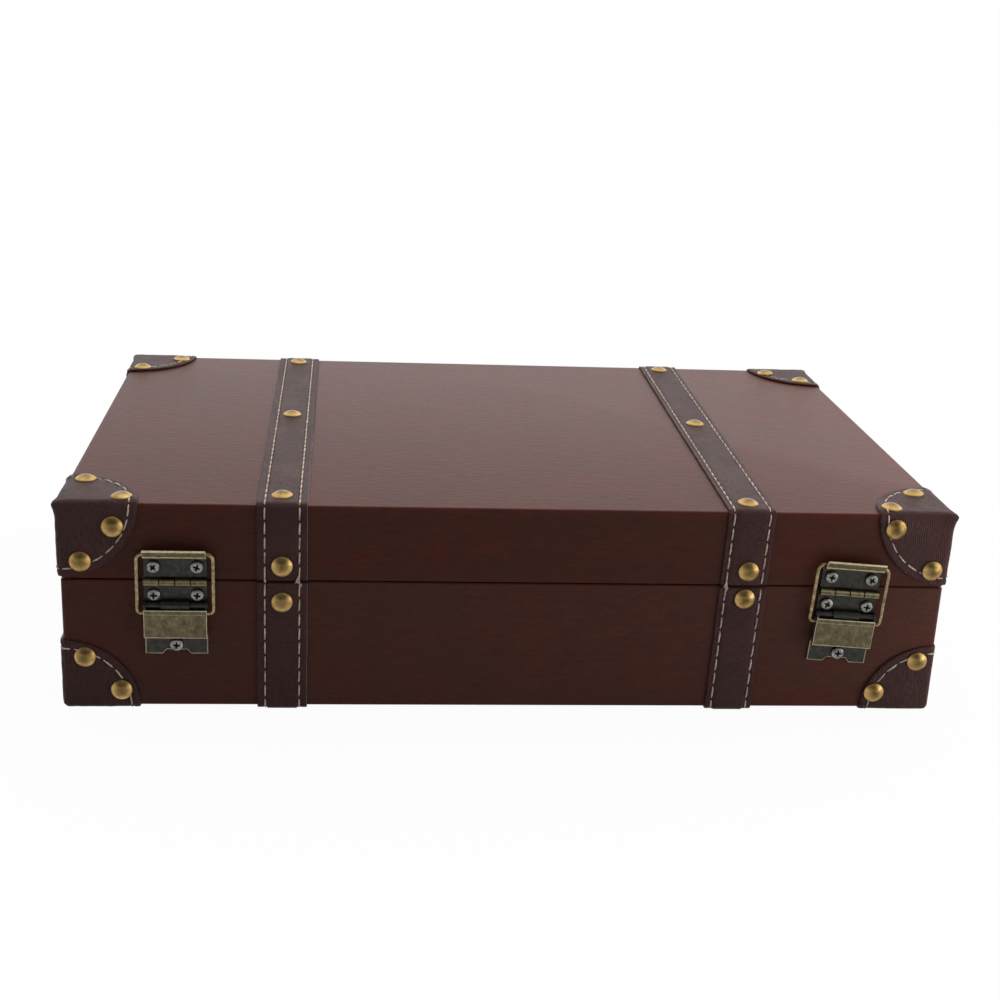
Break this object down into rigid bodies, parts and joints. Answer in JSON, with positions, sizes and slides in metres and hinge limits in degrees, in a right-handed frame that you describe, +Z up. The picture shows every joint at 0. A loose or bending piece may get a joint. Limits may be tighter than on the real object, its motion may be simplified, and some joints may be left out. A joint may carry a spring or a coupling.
{
  "type": "wooden suitcase box",
  "caption": "Small boarded keepsake box shaped like an old suitcase, leather covered, with strapped and nailed leather trim, a lid hinged at the back and toggle latches in front.",
  "frame": {"origin": "on the ground, under the middle of the box's outer extents", "axes": "+X along the front to the right, +Y from the front to the hinged back, +Z up"},
  "size_m": [0.3876, 0.2622, 0.0973],
  "materials": {
    "leather": "satin, fine grain, red brown",
    "trim_leather": "satin, pebbled, dark brown",
    "board": "bare board",
    "lining": "plain woven cloth",
    "bronze": "antique, worn at the edges",
    "brass_wire": "antique, satin",
    "dark_metal": "darkened antique plate",
    "screw_metal": "satin"
  },
  "bodies": {
    "base": {"base_front_board": "board", "base_back_board": "board", "base_left_board": "board", "base_right_board": "board", "base_bottom_panel": "board", "base_leather_cover": "leather", "base_lining": "lining", "base_left_strap": "trim_leather", "base_right_strap": "trim_leather", "base_front_left_corner": "trim_leather", "base_front_right_corner": "trim_leather", "base_back_left_corner": "trim_leather", "base_back_right_corner": "trim_leather", "left_latch_plate": "dark_metal", "left_latch_screw_left": "screw_metal", "left_latch_screw_right": "screw_metal", "left_latch_screw_low": "screw_metal", "left_lever_pin": "dark_metal", "left_hinge_base_leaf": "bronze", "left_hinge_pin": "bronze", "left_hinge_screw_1": "screw_metal", "left_hinge_screw_2": "screw_metal", "right_latch_plate": "dark_metal", "right_latch_screw_left": "screw_metal", "right_latch_screw_right": "screw_metal", "right_latch_screw_low": "screw_metal", "right_lever_pin": "dark_metal", "right_hinge_base_leaf": "bronze", "right_hinge_pin": "bronze", "right_hinge_screw_1": "screw_metal", "right_hinge_screw_2": "screw_metal"},
    "lid": {"lid_front_board": "board", "lid_back_board": "board", "lid_left_board": "board", "lid_right_board": "board", "lid_top_panel": "board", "lid_leather_cover": "leather", "lid_lining": "lining", "lid_left_strap": "trim_leather", "lid_right_strap": "trim_leather", "lid_front_left_corner": "trim_leather", "lid_front_right_corner": "trim_leather", "lid_back_left_corner": "trim_leather", "lid_back_right_corner": "trim_leather", "left_keeper": "dark_metal", "left_keeper_screw_left": "screw_metal", "left_keeper_screw_right": "screw_metal", "left_hinge_lid_leaf": "bronze", "left_hinge_screw_3": "screw_metal", "left_hinge_screw_4": "screw_metal", "right_keeper": "dark_metal", "right_keeper_screw_left": "screw_metal", "right_keeper_screw_right": "screw_metal", "right_hinge_lid_leaf": "bronze", "right_hinge_screw_3": "screw_metal", "right_hinge_screw_4": "screw_metal"},
    "left_lever": {"left_lever": "bronze"},
    "left_bail": {"left_bail": "brass_wire"},
    "right_lever": {"right_lever": "bronze"},
    "right_bail": {"right_bail": "brass_wire"}
  },
  "joints": [
    {"name": "lid_hinge", "type": "hinge", "parent": "base", "child": "lid", "pos_m": [0, 0.12779, 0.0598], "axis": [-1, 0, 0], "range_deg": [0, 105]},
    {"name": "left_lever_hinge", "type": "hinge", "parent": "base", "child": "left_lever", "pos_m": [-0.1424, -0.12746, 0.0496], "axis": [-1, 0, 0], "range_deg": [0, 120]},
    {"name": "left_bail_hinge", "type": "hinge", "parent": "left_lever", "child": "left_bail", "pos_m": [-0.1424, -0.12746, 0.046], "axis": [-1, 0, 0], "range_deg": [-113, 0]},
    {"name": "right_lever_hinge", "type": "hinge", "parent": "base", "child": "right_lever", "pos_m": [0.14644, -0.12746, 0.04762], "axis": [-0.9978, 0, 0.0663], "range_deg": [0, 120]},
    {"name": "right_bail_hinge", "type": "hinge", "parent": "right_lever", "child": "right_bail", "pos_m": [0.1462, -0.12746, 0.04403], "axis": [-0.9978, 0, 0.0663], "range_deg": [-113, 0]}
  ],
  "couplings": [
    {"joint": "left_bail_hinge", "follows": "left_lever_hinge", "ratio": -0.94},
    {"joint": "right_bail_hinge", "follows": "right_lever_hinge", "ratio": -0.94}
  ]
}
